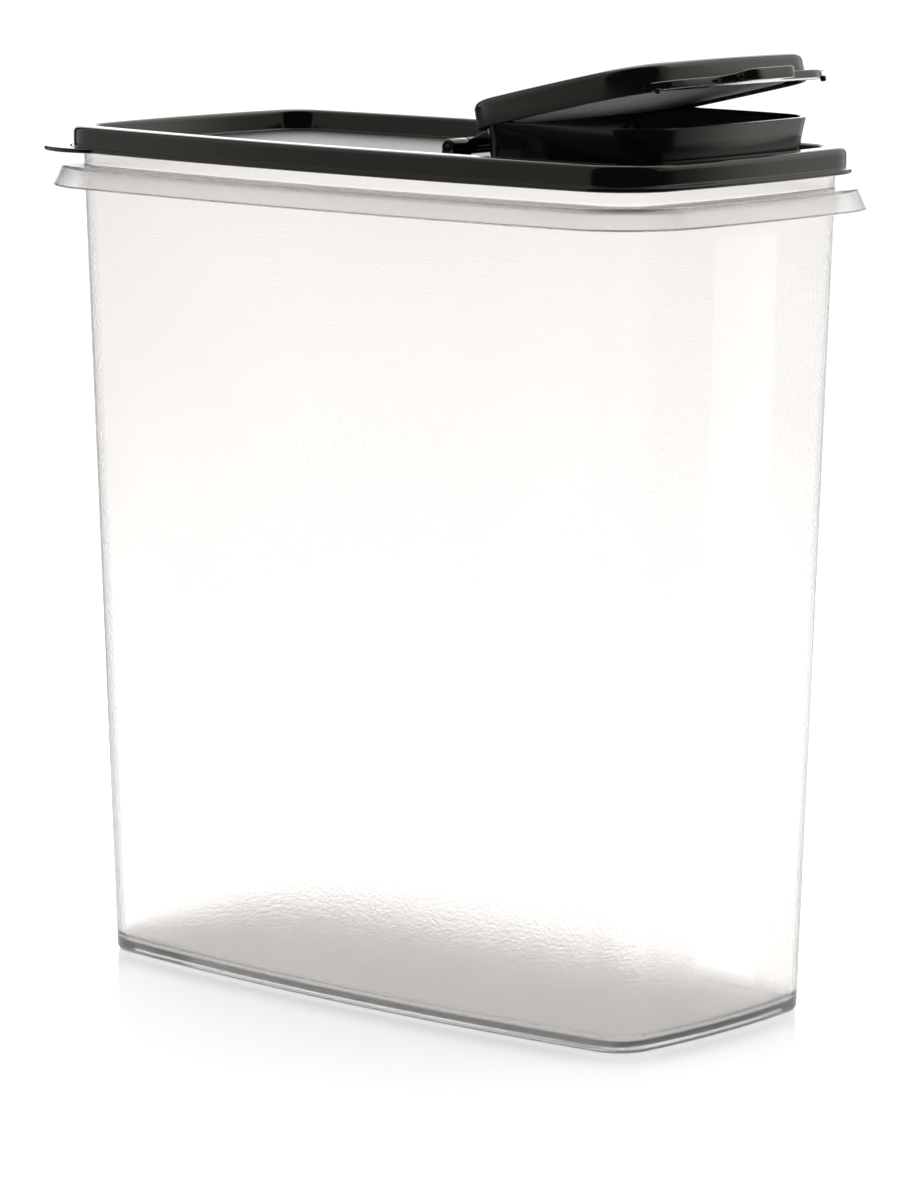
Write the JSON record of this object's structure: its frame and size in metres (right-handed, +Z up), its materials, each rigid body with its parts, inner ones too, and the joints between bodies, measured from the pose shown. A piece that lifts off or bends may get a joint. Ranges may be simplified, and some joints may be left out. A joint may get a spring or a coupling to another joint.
{
  "type": "cereal container with flip spout",
  "caption": "Clear bowed dry-food keeper with a press-on lid, a raised pour spout and a hinged flip cap that closes it.",
  "frame": {"origin": "middle of the base, on the surface it stands on", "axes": "+Z up, +X towards the end that pours, +Y along the short side of the base"},
  "size_m": [0.2565, 0.1382, 0.2912],
  "materials": {
    "container": "milky-clear polypropylene with a fine pebble texture",
    "lid": "satin-gloss black polypropylene",
    "pin": "smooth black plastic rod",
    "cap": "satin-gloss black polypropylene"
  },
  "bodies": {
    "container": {"container_body": "container"},
    "lid": {"lid": "lid", "hinge_pin": "pin"},
    "cap": {"flip_cap": "cap"}
  },
  "joints": [
    {"name": "lid_lift", "type": "slide", "parent": "container", "child": "lid", "axis": [0, 0, 1], "range_m": [0, 0.06]},
    {"name": "cap_hinge", "type": "hinge", "parent": "lid", "child": "cap", "pos_m": [0.028, 0, 0.2623], "axis": [0, -1, 0], "range_deg": [-12.3, 145]}
  ]
}
